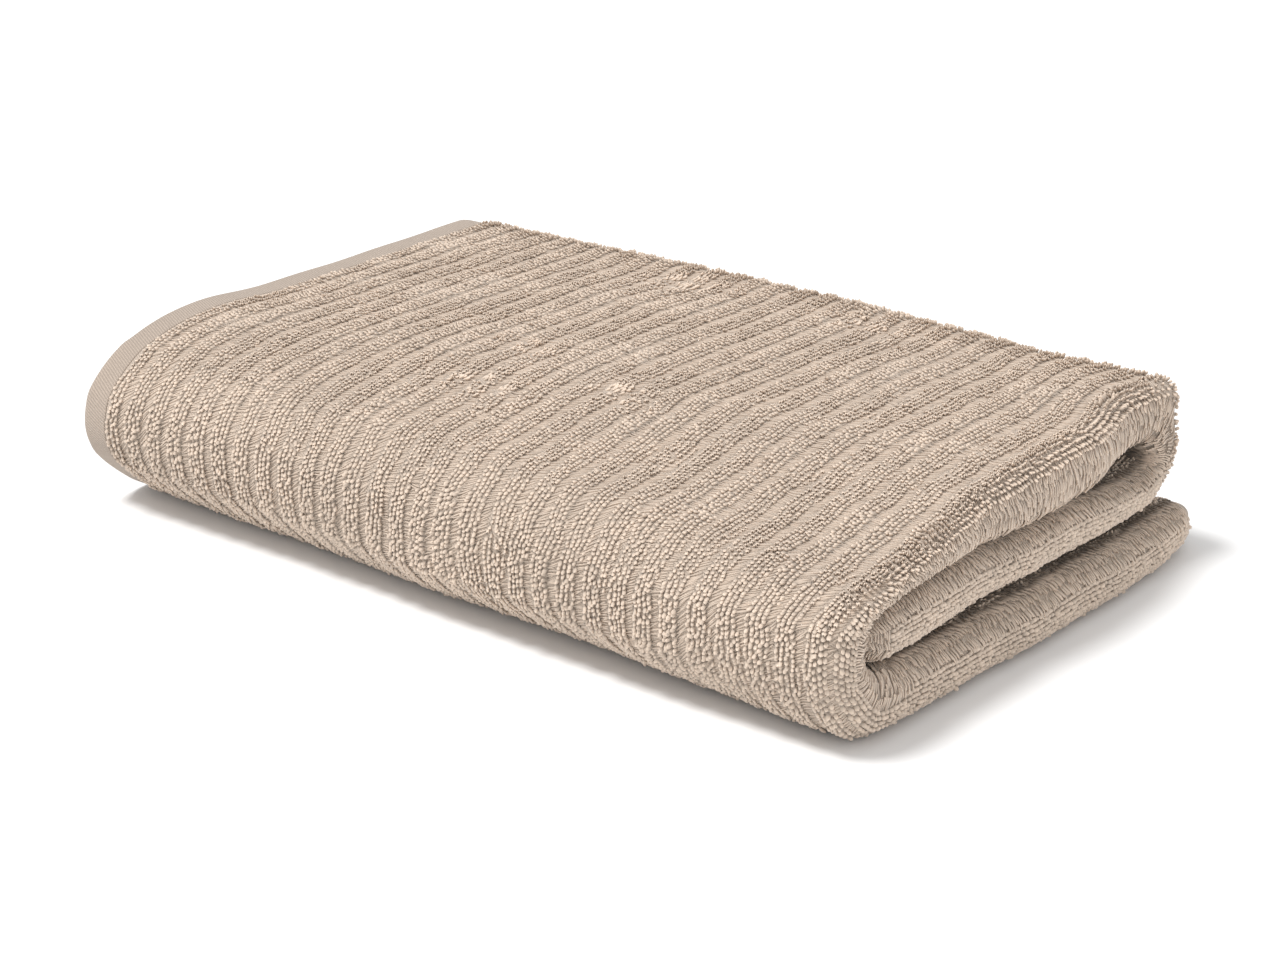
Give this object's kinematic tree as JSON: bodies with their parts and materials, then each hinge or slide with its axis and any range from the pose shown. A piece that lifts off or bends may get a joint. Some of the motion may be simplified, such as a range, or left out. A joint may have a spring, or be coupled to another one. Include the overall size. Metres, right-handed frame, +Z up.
{
  "type": "folded bath towel",
  "caption": "Ribbed terry bath towel, folded into a neat stack with a rounded near fold that unrolls.",
  "frame": {"origin": "middle of the folded towel's outline, at the surface it lies on", "axes": "+X along the long side towards the end with the rolled cross folds, +Y from the near fold to the far side, +Z up"},
  "size_m": [0.35, 0.233, 0.0609],
  "materials": {
    "terry": "looped cotton pile in ribs",
    "hem_weave": "flat woven cotton"
  },
  "bodies": {
    "bottom": {"bottom_panel": "terry", "bottom_panel_hem_outer": "hem_weave", "bottom_panel_hem_inner": "hem_weave", "bottom_selvedge": "hem_weave"},
    "fold_lower": {"near_fold_lower": "terry", "near_fold_lower_hem_outer": "hem_weave", "near_fold_lower_hem_inner": "hem_weave"},
    "fold_middle": {"near_fold_middle": "terry", "near_fold_middle_hem_outer": "hem_weave", "near_fold_middle_hem_inner": "hem_weave"},
    "fold_upper": {"near_fold_upper": "terry", "near_fold_upper_hem_outer": "hem_weave", "near_fold_upper_hem_inner": "hem_weave"},
    "top": {"top_panel": "terry", "top_panel_hem_outer": "hem_weave", "top_panel_hem_inner": "hem_weave", "far_fold": "terry", "far_fold_hem_outer": "hem_weave", "far_fold_hem_inner": "hem_weave", "middle_panel": "terry", "middle_panel_hem_outer": "hem_weave", "middle_panel_hem_inner": "hem_weave", "middle_selvedge": "hem_weave"}
  },
  "joints": [
    {"name": "near_fold_open", "type": "hinge", "parent": "bottom", "child": "fold_lower", "pos_m": [0, -0.09866, 0], "axis": [1, 0, 0], "range_deg": [0, 45]},
    {"name": "near_fold_unroll_low", "type": "hinge", "parent": "fold_lower", "child": "fold_middle", "pos_m": [0, -0.1165, 0.01784], "axis": [1, 0, 0], "range_deg": [0, 45]},
    {"name": "near_fold_unroll_high", "type": "hinge", "parent": "fold_middle", "child": "fold_upper", "pos_m": [0, -0.1165, 0.04306], "axis": [1, 0, 0], "range_deg": [0, 45]},
    {"name": "near_fold_lift_top", "type": "hinge", "parent": "fold_upper", "child": "top", "pos_m": [0, -0.09866, 0.0609], "axis": [1, 0, 0], "range_deg": [0, 45]}
  ],
  "couplings": [
    {"joint": "near_fold_unroll_low", "follows": "near_fold_open", "ratio": 1},
    {"joint": "near_fold_unroll_high", "follows": "near_fold_open", "ratio": 1},
    {"joint": "near_fold_lift_top", "follows": "near_fold_open", "ratio": 1}
  ]
}
